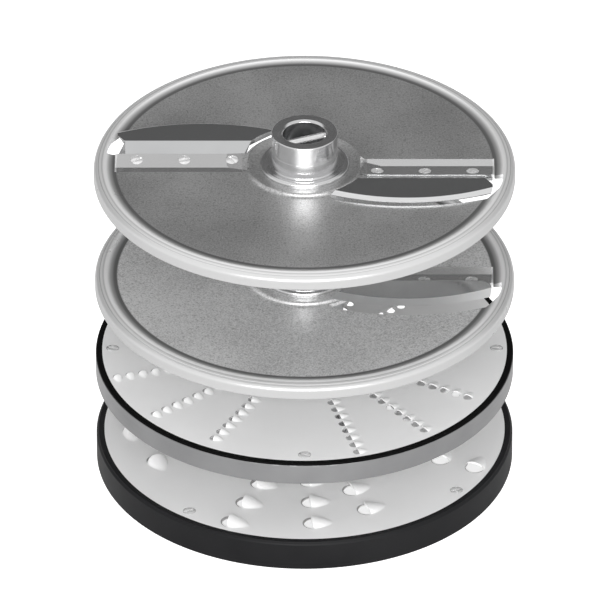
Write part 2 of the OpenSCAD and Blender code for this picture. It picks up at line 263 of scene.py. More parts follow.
# ---------------------------------------------------------------- materials
class Nodes:
    """A small helper that builds one material's node tree."""

    def __init__(self, name):
        self.material = bpy.data.materials.new(name)
        self.material.use_nodes = True
        self.tree = self.material.node_tree
        self.shader = self.tree.nodes["Principled BSDF"]
        self.coords = self.add("ShaderNodeTexCoord").outputs["Object"]

    def add(self, kind, **values):
        node = self.tree.nodes.new(kind)
        for key, value in values.items():
            setattr(node, key, value)
        return node

    def link(self, a, b):
        self.tree.links.new(a, b)

    def set(self, **values):
        for key, value in values.items():
            self.shader.inputs[key.replace("_", " ")].default_value = value

    def noise(self, scale, detail=3.0, coords=None):
        node = self.add("ShaderNodeTexNoise")
        node.inputs["Scale"].default_value = scale
        node.inputs["Detail"].default_value = detail
        self.link(coords or self.coords, node.inputs["Vector"])
        return node.outputs["Fac"]

    def spread(self, value, low, high, start=0.3, end=0.7):
        """Maps a noise value onto low..high."""
        node = self.add("ShaderNodeMapRange")
        for key, number in zip(("From Min", "From Max", "To Min", "To Max"), (start, end, low, high)):
            node.inputs[key].default_value = number
        self.link(value, node.inputs["Value"])
        return node.outputs["Result"]

    def math(self, operation, a, b=None):
        node = self.add("ShaderNodeMath", operation=operation)
        for socket, value in zip(node.inputs, (a, b)):
            if isinstance(value, (int, float)):
                socket.default_value = value
            elif value is not None:
                self.link(value, socket)
        return node.outputs[0]

    def stops(self, value, points):
        """A grey that follows value through (value, grey) points."""
        node = self.add("ShaderNodeValToRGB")
        first, last = points[0][0], points[-1][0]
        self.link(self.spread(value, 0.0, 1.0, first, last), node.inputs["Fac"])
        elements = node.color_ramp.elements
        elements.remove(elements[-1])
        for k, (at, grey) in enumerate(points):
            position = (at - first) / (last - first)
            element = elements[0] if k == 0 else elements.new(position)
            element.position, element.color = position, (grey, grey, grey, 1)
        return node.outputs["Color"]

    def colour(self, value, dark, light):
        """Base colour between two greys."""
        node = self.add("ShaderNodeMix", data_type="RGBA")
        node.inputs["A"].default_value = (*dark, 1)
        node.inputs["B"].default_value = (*light, 1)
        self.link(value, node.inputs["Factor"])
        self.link(node.outputs["Result"], self.shader.inputs["Base Color"])

    def bump(self, height, strength, distance):
        node = self.add("ShaderNodeBump")
        node.inputs["Strength"].default_value = strength
        node.inputs["Distance"].default_value = distance
        self.link(height, node.inputs["Height"])
        return node.outputs["Normal"]

    def polar(self):
        """Angle, radius and height about the discs' axis."""
        split = self.add("ShaderNodeSeparateXYZ")
        self.link(self.coords, split.inputs[0])
        x, y, z = split.outputs
        square = self.math("ADD", self.math("MULTIPLY", x, x), self.math("MULTIPLY", y, y))
        return self.math("ARCTAN2", y, x), self.math("SQRT", square), z

    def turning(self, across, around):
        """Coordinates that run round the axis, for marks left by turning: fine across, long around."""
        angle, radius, z = self.polar()
        join = self.add("ShaderNodeCombineXYZ")
        self.link(self.math("MULTIPLY", angle, around), join.inputs[0])
        self.link(self.math("MULTIPLY", radius, across), join.inputs[1])
        self.link(self.math("MULTIPLY", z, across), join.inputs[2])
        return join.outputs[0]


def on_blade_side(m):
    """Coordinates turned so that every blade lies at +X with its edge facing -Y, then 1 on the upper
    slicing disc and 1 on the right-hand side."""
    split = m.add("ShaderNodeSeparateXYZ")
    m.link(m.coords, split.inputs[0])
    x, y, z = split.outputs
    sign = m.math("SIGN", x)
    upper = m.math("GREATER_THAN", z, (THICK_Z + THIN_Z) / 2 * MM)
    right = m.math("GREATER_THAN", x, 0.0)
    return m.math("MULTIPLY", sign, x), m.math("MULTIPLY", sign, y), z, upper, right


def on_strips(m):
    """1 on the screw strips and the ramps behind them, 0 elsewhere."""
    x, y, _, upper, right = on_blade_side(m)
    along = m.spread(x, 0.0, 1.0, 27.2 * MM, 27.6 * MM)
    short = m.spread(x, 1.0, 0.0, STRIP_END * MM, (STRIP_END + 0.3) * MM)
    front = m.spread(y, 0.0, 1.0, (STRIP_FRONT - 0.3) * MM, (STRIP_FRONT - 0.1) * MM)
    back = m.spread(y, 1.0, 0.0, (STRIP_BACK + RAMP_W + 0.1) * MM, (STRIP_BACK + RAMP_W + 0.3) * MM)
    bladed = m.math("MAXIMUM", upper, right)
    within = m.math("MULTIPLY", m.math("MULTIPLY", along, short), m.math("MULTIPLY", front, back))
    return m.math("MULTIPLY", within, bladed)


def blasted_aluminium():
    """Bead-blasted casting with fine dark flecks; polished rim and strips, with painted shade in the rim's
    inner fillet and a painted highlight on its bead.
    """
    m = Nodes("blasted_aluminium")
    speck = m.noise(1500, 2.0)
    fleck = m.spread(m.noise(900, 1.0), 1.0, 0.76, 0.60, 0.68)
    patch = m.noise(28, 4.0)
    radius, height = m.polar()[1:]
    rim = m.spread(radius, 0.0, 1.0, (FLAT_R - 0.1) * MM, (FLAT_R + 0.5) * MM)
    strips = on_strips(m)
    blasted = m.math("MULTIPLY", m.math("SUBTRACT", 1.0, rim), m.math("SUBTRACT", 1.0, strips))
    # painted light: the lower slicing disc is painted paler and made less metallic, a lit copy of the same
    # blasted finish
    lower = m.spread(height, 1.0, 0.0, (THIN_Z - 25) * MM, (THIN_Z - 15) * MM)
    grain = m.math("ADD", m.math("MULTIPLY", speck, 0.7), m.math("MULTIPLY", patch, 0.3))
    grey = m.math("MULTIPLY", m.spread(grain, 0.42, 0.64, 0.38, 0.60), fleck)
    grey = m.math("MULTIPLY", grey, m.spread(lower, 1.0, LOWER_DISC_PAINTED_LIGHT, 0.0, 1.0))
    # painted shade in the rim's inner fillet and a painted highlight on its bead, as greys by radius
    rim_painted_light = m.stops(radius, [(at * MM, grey_there) for at, grey_there in RIM_PAINTED_LIGHT])
    parts = [m.math("MULTIPLY", grey, blasted), m.math("MULTIPLY", strips, STRIP_GREY),
             m.math("MULTIPLY", rim_painted_light, rim)]
    m.colour(m.math("ADD", m.math("ADD", parts[0], parts[1]), parts[2]), (0, 0, 0), (1, 1, 1))
    rough = m.math("ADD", m.math("MULTIPLY", blasted, 0.22), m.math("MULTIPLY", rim, 0.10))
    m.link(m.math("ADD", m.spread(patch, 0.17, 0.23), rough), m.shader.inputs["Roughness"])
    relief = m.math("MULTIPLY", speck, m.math("ADD", m.math("MULTIPLY", blasted, 0.95), 0.05))
    m.link(m.bump(relief, 0.16, 0.00012), m.shader.inputs["Normal"])
    # the painted-light copy on the lower disc is also less metallic
    lower_lit_copy = m.math("MULTIPLY", m.math("MULTIPLY", lower, blasted), 0.37)
    dull = m.math("ADD", lower_lit_copy, m.math("MULTIPLY", rim, 0.45))
    m.link(m.math("SUBTRACT", 0.92, dull), m.shader.inputs["Metallic"])
    return m.material


def turned_aluminium():
    """Hub turned on a lathe: faint rings, satin."""
    m = Nodes("turned_aluminium")
    rings = m.noise(1.0, 3.0, m.turning(2600, 1.6))
    stain = m.noise(60, 3.0)
    m.colour(m.spread(stain, 0.0, 1.0), (0.66, 0.66, 0.665), (0.78, 0.78, 0.785))
    m.link(m.spread(rings, 0.14, 0.26), m.shader.inputs["Roughness"])
    m.link(m.bump(rings, 0.12, 0.00004), m.shader.inputs["Normal"])
    m.set(Metallic=1.0)
    return m.material


def brushed_aluminium():
    """Side wall of the fine disc: satin, brushed round."""
    m = Nodes("brushed_aluminium")
    rings = m.noise(1.0, 3.0, m.turning(3000, 2.4))
    stain = m.noise(35, 3.0)
    m.colour(m.spread(stain, 0.0, 1.0), (0.30, 0.30, 0.305), (0.36, 0.36, 0.365))
    m.link(m.spread(rings, 0.28, 0.38), m.shader.inputs["Roughness"])
    m.link(m.bump(rings, 0.15, 0.00004), m.shader.inputs["Normal"])
    m.set(Metallic=1.0)
    return m.material


def on_bevel(m):
    """1 on the honed bevels: in front of the ridge and below the plane of the ground face."""
    _, y, z, upper, _ = on_blade_side(m)
    low = THICK_Z + PAN_TOP + THICK_CUT
    high = THIN_Z + PAN_TOP + THIN_CUT
    edge = m.math("ADD", m.math("MULTIPLY", upper, (high - low) * MM), low * MM)
    low_hone, more = (THICK_HONE + FACE_DROP) * MM, (THIN_HONE - THICK_HONE) * MM
    hone = m.math("ADD", m.math("MULTIPLY", upper, more), low_hone)
    forward = m.math("SUBTRACT", RIDGE_Y * MM, y)
    face = m.math("SUBTRACT", m.math("ADD", edge, hone), m.math("MULTIPLY", forward, FACE_SLOPE))
    below = m.spread(m.math("SUBTRACT", face, z), 0.0, 1.0, 0.03 * MM, 0.08 * MM)
    above = m.spread(m.math("SUBTRACT", z, edge), 0.0, 1.0, -0.04 * MM, -0.01 * MM)
    return m.math("MULTIPLY", m.math("MULTIPLY", below, above), m.math("GREATER_THAN", forward, 1.0 * MM))


def ground_steel():
    """Blade steel: ground across its width, close to a mirror, with a duller honed bevel that carries a
    painted highlight, paler than the ground face.
    """
    m = Nodes("ground_steel")
    stretch = m.add("ShaderNodeVectorMath", operation="MULTIPLY")
    stretch.inputs[1].default_value = (3000, 40, 3000)
    m.link(m.coords, stretch.inputs[0])
    lines = m.noise(1.0, 2.0, stretch.outputs[0])
    stain = m.noise(45, 3.0)
    bevel = on_bevel(m)
    # painted highlight: the honed bevel is painted paler than the ground face; its added roughness is the
    # duller honed finish
    tone = m.math("ADD", m.spread(stain, 0.0, 0.12), m.math("MULTIPLY", bevel, 0.5))
    m.colour(tone, (0.60, 0.605, 0.61), (1.0, 1.0, 1.0))
    rough = m.math("ADD", m.spread(lines, 0.09, 0.15), m.math("MULTIPLY", bevel, 0.3))
    m.link(rough, m.shader.inputs["Roughness"])
    m.link(m.bump(lines, 0.05, 0.00002), m.shader.inputs["Normal"])
    m.set(Metallic=1.0)
    return m.material


def sheet_steel():
    """Grating plates: pale satin sheet, faintly smudged, with a painted highlight on the teeth and painted
    shade where the sheet is sunk in front of them.
    """
    m = Nodes("sheet_steel")
    smudge = m.noise(22, 4.0)
    fine = m.noise(900, 2.0)
    z = m.polar()[2]
    low_face, high_face = (COARSE_Z + COARSE_FACE) * MM, (FINE_Z + FINE_FACE) * MM
    upper = m.math("GREATER_THAN", z, (low_face + high_face) / 2)
    face = m.math("ADD", m.math("MULTIPLY", upper, high_face - low_face), low_face)
    above = m.math("SUBTRACT", z, face)
    # painted highlight: the raised teeth are painted lighter
    raised = m.spread(above, 0.0, 1.0, 0.1 * MM, 0.7 * MM)
    # painted shade: the sunk dips in front of the teeth are painted darker
    sunk = m.math("MULTIPLY", m.spread(above, 1.0, 0.0, -0.2 * MM, -0.03 * MM),
                  m.spread(above, 0.0, 1.0, -0.42 * MM, -0.34 * MM))
    stain = m.math("MULTIPLY", m.spread(smudge, 0.0, 1.0), 0.35)
    tone = m.math("ADD", stain, m.math("MULTIPLY", raised, 0.65))
    grey = m.math("ADD", m.math("MULTIPLY", tone, 0.13), 0.86)
    m.colour(m.math("MULTIPLY", grey, m.spread(sunk, 1.0, 0.35, 0.0, 1.0)), (0, 0, 0), (1, 1, 1))
    m.link(m.spread(smudge, 0.30, 0.42), m.shader.inputs["Roughness"])
    m.link(m.bump(fine, 0.04, 0.00004), m.shader.inputs["Normal"])
    m.set(Metallic=0.12)
    return m.material


def bright_steel():
    """Cross pins: polished rod."""
    m = Nodes("bright_steel")
    fine = m.noise(700, 2.0)
    m.colour(m.spread(fine, 0.0, 1.0), (0.80, 0.80, 0.80), (0.90, 0.90, 0.90))
    m.link(m.spread(fine, 0.12, 0.20), m.shader.inputs["Roughness"])
    m.set(Metallic=1.0)
    return m.material


def screw_steel():
    """Screws: bright plating, a little worn."""
    m = Nodes("screw_steel")
    wear = m.noise(500, 3.0)
    m.colour(m.spread(wear, 0.0, 1.0), (0.80, 0.80, 0.80), (0.95, 0.95, 0.95))
    m.link(m.spread(wear, 0.18, 0.30), m.shader.inputs["Roughness"])
    m.link(m.bump(wear, 0.08, 0.00005), m.shader.inputs["Normal"])
    m.set(Metallic=0.45)
    return m.material


def black_plastic():
    """Moulded rim of the coarse disc."""
    m = Nodes("black_plastic")
    skin = m.noise(1800, 2.0)
    patch = m.noise(30, 3.0)
    m.colour(m.spread(patch, 0.0, 1.0), (0.009, 0.009, 0.010), (0.014, 0.014, 0.015))
    m.link(m.spread(patch, 0.38, 0.50), m.shader.inputs["Roughness"])
    m.link(m.bump(skin, 0.12, 0.00006), m.shader.inputs["Normal"])
    m.set(Metallic=0.0, Specular_IOR_Level=0.15)
    return m.material


def black_seal():
    """Soft black ring around the fine plate."""
    m = Nodes("black_seal")
    patch = m.noise(60, 3.0)
    m.colour(m.spread(patch, 0.0, 1.0), (0.002, 0.002, 0.002), (0.004, 0.004, 0.004))
    m.link(m.spread(patch, 0.45, 0.60), m.shader.inputs["Roughness"])
    m.set(Metallic=0.0, Specular_IOR_Level=0.06)
    return m.material


def grey_plastic():
    """Sleeves between the discs."""
    m = Nodes("grey_plastic")
    skin = m.noise(1400, 2.0)
    patch = m.noise(40, 3.0)
    m.colour(m.spread(patch, 0.0, 1.0), (0.40, 0.405, 0.41), (0.46, 0.465, 0.47))
    m.link(m.spread(patch, 0.40, 0.52), m.shader.inputs["Roughness"])
    m.link(m.bump(skin, 0.10, 0.00005), m.shader.inputs["Normal"])
    m.set(Metallic=0.0)
    return m.material


MAKERS = (blasted_aluminium, turned_aluminium, brushed_aluminium, ground_steel, sheet_steel,
          bright_steel, screw_steel, black_plastic, black_seal, grey_plastic)
FINISH = {maker.__name__: maker() for maker in MAKERS}


# ---------------------------------------------------------------- slicing discs
def strip_z(y):
    """Top of the tilted screw strip at y, above the disc's underside."""
    return PAN_TOP - STRIP_DIP + (STRIP_BACK - y) * math.tan(STRIP_TILT)


def rim_profile():
    """Pan and rolled rim, from the hub's seat out to the edge and back underneath."""
    top = PAN_TOP + BEAD_RISE
    rise = [(FLAT_R + 4.15 * t, PAN_TOP + 0.8 * t ** 2.6) for t in (i / 14 for i in range(15))]
    bead = arc(FLAT_R + 5.0, top - 1.9, 1.9, 114, 76, 10)
    band = [(FLAT_R + 6.4, top - 0.18), (FLAT_R + 7.55, top - 0.42)]
    groove = [(FLAT_R + 7.65, top - 0.5), (FLAT_R + 7.85, top - 0.68), (FLAT_R + 8.1, top - 0.6)]
    wall = arc(DISC_R - 2.2, top - 2.85, 2.2, 80, 0, 10)
    foot = arc(DISC_R - 0.6, 0.6, 0.6, 0, -90, 5)
    inner = [(DISC_R - 2.6, 0.0), (DISC_R - 3, 0.4),
             *arc(DISC_R - 4.2, PAN_TOP - PAN_T - 1.2, 1.2, 0, 90, 5)]
    seat = SHOULDER_R + 0.02
    under = [(seat, PAN_TOP - PAN_T)]
    collar = [(seat, PAN_TOP + 0.55), (seat + 0.9, PAN_TOP + 0.62), (seat + 2.2, PAN_TOP + 0.75),
              (COLLAR_R - 3.2, PAN_TOP + 1.15),
              *arc(COLLAR_R - 1.7, PAN_TOP + 0.3, 1.1, 115, 20, 14),
              (COLLAR_R - 0.35, PAN_TOP + 0.25), (COLLAR_R + 0.2, PAN_TOP + 0.06),
              (COLLAR_R + 0.9, PAN_TOP)]
    return [*collar, *rise, *bead, *band, *groove, *wall, *foot, *inner, *under]


def throat_outline(edge):
    """Outline of the opening in front of the strip, seen from above."""
    cx, cy = EDGE_CENTRE
    top = STRIP_FRONT
    inner_r = COLLAR_R + 0.6
    a0 = math.degrees(math.atan2(top, math.sqrt(inner_r ** 2 - top ** 2)))
    inner = arc(0, 0, inner_r, a0, -66.5, 12)
    lip_start, lip_end = inner[-1][0], 76.8
    xs = [lip_start + (lip_end - lip_start) * t for t in (i / 28 for i in range(1, 29))]
    lip = [(x, cy - math.sqrt(edge ** 2 - (x - cx) ** 2)) for x in xs]
    tip = [(79.6, -27.4), (81.3, -25.2), (83.2, -22.6), (85.0, -20.2), (86.2, -16.4),
           (86.9, -12.4), (87.0, -9.6)]
    return [*inner, *lip, *tip, (86.6, top)]


def pan(name, body, node, lift, sides):
    """Pan with, on each side given, a throat, a sunk screw strip and a web from the strip to the collar."""
    body_mesh = solid(name, *lathe(rim_profile(), 360))
    cutters, beds, after = [], [], []
    ramp_foot = STRIP_BACK + RAMP_W
    for side in sides:
        spin = turned(side)
        bed = [(ramp_foot - 0.05, PAN_TOP + 4), (ramp_foot - 0.05, -4), (STRIP_FRONT, -4),
               (STRIP_FRONT, PAN_TOP + 4)]
        cutters.append(solid("cut", *along_x(bed, COLLAR_R - 2.4, STRIP_END), spin))
        verts, faces = prism(throat_outline(EDGE_R + LIP_GAP), 40.0)
        after.append(solid("cut", [(x, y, z - 20) for x, y, z in verts], faces, spin))
        section = [(ramp_foot, PAN_TOP - PAN_T), (ramp_foot, PAN_TOP),
                   (STRIP_BACK, strip_z(STRIP_BACK)), (STRIP_FRONT, strip_z(STRIP_FRONT)),
                   (STRIP_FRONT, strip_z(STRIP_FRONT) - STRIP_T),
                   (STRIP_BACK, strip_z(STRIP_BACK) - STRIP_T - 0.2),
                   (STRIP_BACK, strip_z(STRIP_BACK) - STRIP_T - BLADE_T - 0.2),
                   (STRIP_BACK + RAMP_W * 0.6, PAN_TOP - PAN_T - 1.8)]
        beds.append(solid("bed", *along_x(section, COLLAR_R - 2.6, STRIP_END + 0.02), spin))
        beds.append(strip_web(spin))
    combine(body_mesh, cutters, "DIFFERENCE")
    combine(body_mesh, beds, "UNION")
    holes = [screw_hole(x, side) for side in sides for x in SCREW_X]
    combine(body_mesh, after + holes, "DIFFERENCE")
    soften(body_mesh, 0.12)
    return place(body_mesh, body, "blasted_aluminium", node, lift, 9.0)


def strip_web(spin):
    """Flared web that joins a strip to the collar."""
    r = COLLAR_R - 1.6
    outline = [*arc(0, 0, r, -22, 30, 10), (COLLAR_R + 3.0, 6.4), (COLLAR_R + 6.4, STRIP_BACK + 0.2),
               (COLLAR_R + 7.4, STRIP_BACK - 1.4), (COLLAR_R + 7.4, STRIP_FRONT + 0.02),
               (COLLAR_R - 1.0, STRIP_FRONT + 0.02)]

    def top_z(x, y):
        """The strip's own height, rising a little towards the collar."""
        flare = 0.5 * max(0.0, 1 - (math.hypot(x, y) - r) / 5)
        return strip_z(min(y, STRIP_BACK)) + 0.04 + flare

    low = [(x, y, PAN_TOP - PAN_T + 0.1) for x, y in outline]
    top = [(x, y, top_z(x, y)) for x, y in outline]
    faces = prism(outline, 1.0)[1]
    return solid("web", low + top, faces, spin)


def on_strip(x, side, z=0.0):
    """Matrix that sets a part made about Z onto the screw strip at x."""
    seat = shift(x, SCREW_Y, strip_z(SCREW_Y) + z) @ Matrix.Rotation(-STRIP_TILT, 4, "X")
    return turned(side) @ seat


def screw_hole(x, side):
    r, h = HEAD_R + 0.1, HEAD_H
    profile = [(0.0, -9), (SHANK_R + 0.1, -9), (SHANK_R + 0.1, -h), (r, -0.02), (r, 4), (0.0, 4)]
    return solid("hole", *lathe(profile, 40), on_strip(x, side))


def slotted_screw(length, angle):
    """One countersunk screw about Z, head up at z = 0, its slot turned by angle."""
    profile = [(0.0, -length), (SHANK_R - 0.3, -length), (SHANK_R, -length + 0.3), (SHANK_R, -HEAD_H),
               (HEAD_R - 0.06, -0.14), (HEAD_R, -0.08), (HEAD_R - 0.14, 0.02), (0.0, 0.10)]
    screw = solid("screw", *lathe(profile, 48))
    outline = [(-4, -SLOT_HALF), (4, -SLOT_HALF), (4, SLOT_HALF), (-4, SLOT_HALF)]
    verts, faces = prism(outline, 3)
    combine(screw, [solid("slot", [(x, y, z - SLOT_DEPTH) for x, y, z in verts], faces)], "DIFFERENCE")
    soften(screw, 0.05, 40.0)
    screw.data.transform(turned(angle))
    return screw


def joined(name, parts):
    """One object out of several separate solids."""
    work = bmesh.new()
    for part in parts:
        work.from_mesh(part.data)
        mesh = part.data
        bpy.data.objects.remove(part)
        bpy.data.meshes.remove(mesh)
    mesh = bpy.data.meshes.new(name)
    work.to_mesh(mesh)
    work.free()
    obj = bpy.data.objects.new(name, mesh)
    bpy.context.scene.collection.objects.link(obj)
    return obj


def blade_screws(name, body, node, lift, sides):
    slots = iter((55, 62, 130, 118, 20, 35))  # how far each slot is turned, in degrees
    parts = []
    for side in sides:
        for x in SCREW_X:
            screw = slotted_screw(BLADE_SCREW_L, math.radians(next(slots)))
            screw.data.transform(on_strip(x, side, -0.03))
            parts.append(screw)
    return place(joined(name, parts), body, "screw_steel", node, lift)


def edge_y(x, back=0.0):
    """The cutting edge's y at x, or that of a line parallel to it, further back."""
    cx, cy = EDGE_CENTRE
    return cy - math.sqrt((EDGE_R - back) ** 2 - (x - cx) ** 2)


def blade_outer_x(y):
    """Outer end of a blade: straight at the ridge, then swept out to the tip."""
    sweep = 3.6 * smoothstep((-14.2 - y) / 6.6)
    return 78.7 + sweep - 0.7 * smoothstep((-21.6 - y) / 2.4)


def blade_rows(cut, hone):
    """A blade's section as functions that give (y, z) at x: tang, ridge, edge and back underneath."""
    edge = PAN_TOP + cut
    ridge = edge + hone + FACE_DROP
    back = STRIP_BACK - 0.4
    under = strip_z(back) - STRIP_T

    def face_z(y):
        return ridge - (RIDGE_Y - y) * FACE_SLOPE

    def bevel_y(x):
        y = edge_y(x)
        for _ in range(8):
            y = edge_y(x, HONE_RATIO * (face_z(y) - edge))
        return y

    def fixed(y, z):
        return lambda x: (y, z)

    def on_face(share):
        def point(x):
            y = crown_y + (bevel_y(x) - crown_y) * share
            return y, face_z(y)
        return point

    def at_edge(x):
        return edge_y(x), edge

    def below_edge(x):
        y = edge_y(x)
        return y + 0.05, min(face_z(y) - BLADE_T, edge - 0.05)

    crown_y = RIDGE_Y - 0.35
    foot = strip_z(STRIP_FRONT)
    return [fixed(back, under - 0.24), fixed(STRIP_FRONT + 0.3, foot - STRIP_T - 0.28),
            fixed(STRIP_FRONT - 0.35, foot - 0.55), fixed(STRIP_FRONT - 0.9, foot - 0.15),
            fixed(RIDGE_Y + 0.5, ridge - 0.17), fixed(RIDGE_Y + 0.12, ridge - 0.03),
            on_face(0.0), on_face(0.33), on_face(0.67), on_face(1.0), at_edge, below_edge,
            fixed(RIDGE_Y + 1.6, ridge - BLADE_T), fixed(STRIP_FRONT + 0.1, foot - STRIP_T - BLADE_T - 0.2),
            fixed(back, under - BLADE_T - 0.1)]


def blade(name, body, node, lift, side, cut, hone):
    """Tang, ramp, ridge, flat ground face and a honed bevel down to the curved edge."""
    rows = blade_rows(cut, hone)
    columns = 56
    verts = []
    for row in rows:
        x_in, x_out = BLADE_GAP_R, 80.0  # first guesses, which settle within a few rounds
        for _ in range(12):
            x_in = math.sqrt(max(BLADE_GAP_R ** 2 - row(x_in)[0] ** 2, BLADE_INNER_X ** 2))
            x_out = blade_outer_x(row(x_out)[0])
        if row(x_out)[0] > STRIP_FRONT:
            x_out = STRIP_END - 0.6
        for k in range(columns + 1):
            x = x_in + (x_out - x_in) * k / columns
            verts.append((x, *row(x)))
    n, w = len(rows), columns + 1
    faces = []
    for i in range(n):
        a, b = i * w, (i + 1) % n * w
        faces += [(a + k, a + k + 1, b + k + 1, b + k) for k in range(columns)]
    faces += [tuple(i * w for i in range(n)), tuple(i * w + columns for i in range(n - 1, -1, -1))]
    obj = solid(name, verts, faces, turned(side))
    return place(obj, body, "ground_steel", node, lift, 12.0)


# ---------------------------------------------------------------- hubs, pins, sleeves
def hub(name, body, node, lift, face):
    """Turned hub with a round shoulder, a chamfered bore and a fine line round its wall."""
    top = face + HUB_RISE
    line = face + 8.5
    profile = [(BORE_R + 0.4, HUB_LIFT), (SHOULDER_R - 0.4, HUB_LIFT), (SHOULDER_R, HUB_LIFT + 0.4),
               (SHOULDER_R, face + 0.6), *arc(SHOULDER_R - 1.45, face + 0.85, 1.45, 0, 105, 10),
               (SHOULDER_R - 3.0, face + 1.85), (HUB_R + 1.0, face + 1.35), (HUB_R + 0.35, face + 1.5),
               (HUB_R + 0.05, face + 2.1), (HUB_R, face + 2.6), (HUB_R, line - 0.12),
               (HUB_R - 0.08, line), (HUB_R - 0.05, line + 0.15), (HUB_R - 0.05, top - 0.45),
               *arc(HUB_R - 0.5, top - 0.45, 0.45, 0, 90, 4)[1:],
               (BORE_R + 0.95, top), (BORE_R + 0.8, top - 0.05),
               (BORE_R + 0.1, top - 0.85), (BORE_R, top - 1.05),
               (BORE_R, HUB_LIFT + 0.4)]
    return place(solid(name, *lathe(profile, 192)), body, "turned_aluminium", node, lift, 40.0)


def drive_pin(name, body, node, lift, face):
    """Polished cross pin through the bore."""
    length = BORE_R + PIN_SEAT
    profile = [(0.0, -length), (PIN_R - 0.4, -length), (PIN_R, -length + 0.4), (PIN_R, length - 0.4),
               (PIN_R - 0.4, length), (0.0, length)]
    lying = turned(PIN_ANGLE) @ Matrix.Rotation(math.pi / 2, 4, "Y")
    pose = shift(z=face + HUB_RISE - PIN_DEPTH - PIN_R) @ lying
    return place(solid(name, *lathe(profile, 64), pose), body, "bright_steel", node, lift)


def sleeve(name, body, node):
    """Plain stacking sleeve with eased edges and two grip grooves."""
    low, high = low_z(node), high_z(node)
    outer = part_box(node)[1].x / MM
    seat = {"lower_sleeve": FINE_Z, "middle_sleeve": THICK_Z, "upper_sleeve": THIN_Z}[node] + HUB_LIFT
    socket, spigot, bore, depth = HUB_R + 0.25, BORE_R - 0.06, 6.0, 5.3
    grooves = []
    for z in (low + 3.2, seat - 3.2):
        grooves += [(outer, z - 0.5), (outer - 0.45, z - 0.25), (outer - 0.45, z + 0.25), (outer, z + 0.5)]
    profile = [(socket + 0.3, low), (outer - 0.5, low), (outer, low + 0.5), *grooves,
               (outer, seat - 0.8), (outer - 0.8, seat), (spigot, seat), (spigot, high - 1.0),
               (spigot - 1.0, high), (bore + 0.4, high), (bore, high - 0.4),
               (bore, low + depth + 0.3), (bore + 0.3, low + depth), (socket, low + depth),
               (socket, low + 0.3)]
    return place(solid(name, *lathe(profile, 160)), body, "grey_plastic", node, 0.0, 30.0)


# ---------------------------------------------------------------- grating discs
def grated_sheet(name, plate_r, hole_r, teeth, size, screws):
    """Sheet with pressed teeth. Each tooth is a ring of points from its open edge out to a drop-shaped
    outline; the flat sheet between the outlines is one triangulated face. The sheet is then thickened."""
    verts, faces, outlines = [], [], []
    around, rings = size["around"], size["rings"]

    def tooth_point(angle, share):
        """Local point: u along the row, v against the cutting direction, z up."""
        c, s = math.cos(angle), math.sin(angle)
        half, length, height = size["half"], size["length"], size["height"]
        if s >= 0:
            inner = Vector((half * c, -size["lean"] * s, height * s ** 0.8))
            outer = Vector(((half + size["skirt"]) * c * (1 - 0.25 * s), (length + size["skirt"]) * s, 0.0))
            flat = inner.xy.lerp(outer.xy, share)
            fade = (1 - share) ** 1.25 * (1 + 0.25 * share)
            return Vector((flat.x, flat.y, inner.z * fade))
        inner = Vector((half * c, size["mouth"] * s, -size["dish"] * (-s)))
        outer = Vector(((half + size["skirt"]) * c, (size["mouth"] + size["skirt"]) * s, 0.0))
        flat = inner.xy.lerp(outer.xy, share)
        return Vector((flat.x, flat.y, inner.z * (1 - smoothstep(share))))

    for radius, angle in teeth:
        c, s = math.cos(angle), math.sin(angle)
        first = len(verts)
        for j in range(rings + 1):
            for k in range(around):
                p = tooth_point(TURN * k / around, j / rings)
                u, v = radius + p.x, p.y
                verts.append((u * c - v * s, u * s + v * c, p.z))
        for j in range(rings):
            a, b = first + j * around, first + (j + 1) * around
            faces += [(a + k, b + k, b + (k + 1) % around, a + (k + 1) % around) for k in range(around)]
        outlines.append(list(range(first + rings * around, first + (rings + 1) * around)))
    for radius, angle in screws:
        first = len(verts)
        cx, cy = radius * math.cos(angle), radius * math.sin(angle)
        verts += [(x, y, 0.0) for x, y in arc(cx, cy, HEAD_R + 0.1, 0, 360, 32)[:-1]]
        outlines.append(list(range(first, len(verts))))
    for r, n in ((plate_r, 360), (hole_r, 96)):
        first = len(verts)
        verts += [(x, y, 0.0) for x, y in arc(0, 0, r, 0, 360, n)[:-1]]
        outlines.append(list(range(first, len(verts))))
    faces += flat_faces(verts, outlines)
    return verts, faces


def extent(points):
    """Least and greatest x, then least and greatest y."""
    xs, ys = [p.x for p in points], [p.y for p in points]
    return min(xs), max(xs), min(ys), max(ys)


def flat_faces(verts, outlines):
    """Triangles of the flat sheet between closed outlines; the one before last is the outer edge."""
    index = [i for outline in outlines for i in outline]
    spots = [Vector(verts[i][:2]) for i in index]
    edges, start = [], 0
    for outline in outlines:
        n = len(outline)
        edges += [(start + k, start + (k + 1) % n) for k in range(n)]
        start += n
    found = geometry.delaunay_2d_cdt(spots, edges, [], 0, 1e-7)
    new_verts, triangles, origin = found[0], found[2], found[3]
    names = [index[source[0]] if source else None for source in origin]
    holes = [[Vector(verts[i][:2]) for i in o] for k, o in enumerate(outlines) if k != len(outlines) - 2]
    boxes = [extent(hole) for hole in holes]
    outer = [Vector(verts[i][:2]) for i in outlines[-2]]
    reach = max(p.length for p in outer)
    kept = []
    for triangle in triangles:
        if any(names[i] is None for i in triangle):
            continue
        middle = sum((new_verts[i] for i in triangle), Vector((0, 0))) / 3
        if middle.length > reach:
            continue
        inside = any(x0 <= middle.x <= x1 and y0 <= middle.y <= y1 and contains(hole, middle)
                     for hole, (x0, x1, y0, y1) in zip(holes, boxes))
        if not inside:
            kept.append(tuple(names[i] for i in triangle))
    return kept


def contains(outline, p):
    """Whether a closed outline holds the point."""
    inside = False
    for a, b in zip(outline, outline[1:] + outline[:1]):
        if (a.y > p.y) != (b.y > p.y) and p.x < (b.x - a.x) * (p.y - a.y) / (b.y - a.y) + a.x:
            inside = not inside
    return inside


